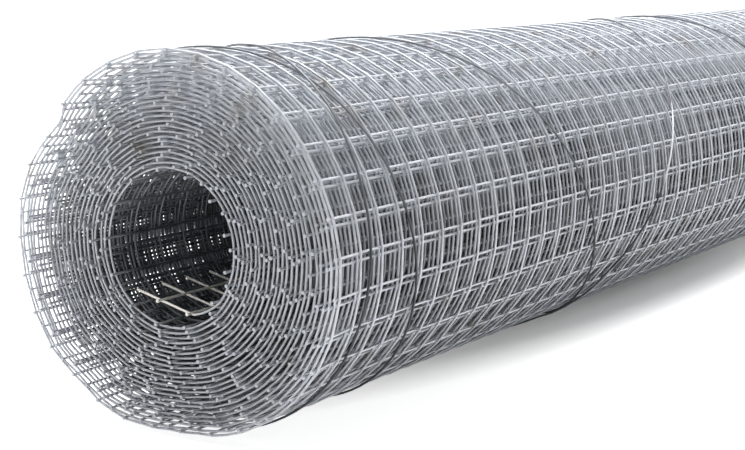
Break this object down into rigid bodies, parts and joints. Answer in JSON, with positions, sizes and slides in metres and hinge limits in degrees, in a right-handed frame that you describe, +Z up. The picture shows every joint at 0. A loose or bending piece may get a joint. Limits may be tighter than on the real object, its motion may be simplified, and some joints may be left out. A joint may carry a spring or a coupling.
{
  "type": "roll of welded wire mesh",
  "caption": "Roll of galvanised square welded wire mesh lying on its side, wound round an open bore and bound with criss-crossed tie wire.",
  "frame": {"origin": "on the floor, under the middle of the roll", "axes": "+X along the roll's axis from the end that faces the viewer to the far end, +Z up"},
  "size_m": [1, 0.198, 0.1983],
  "materials": {
    "zinc_wire": "galvanised",
    "tie_wire": "annealed"
  },
  "bodies": {
    "root": {"mesh_roll": "zinc_wire", "tie_wire": "tie_wire"}
  },
  "joints": []
}
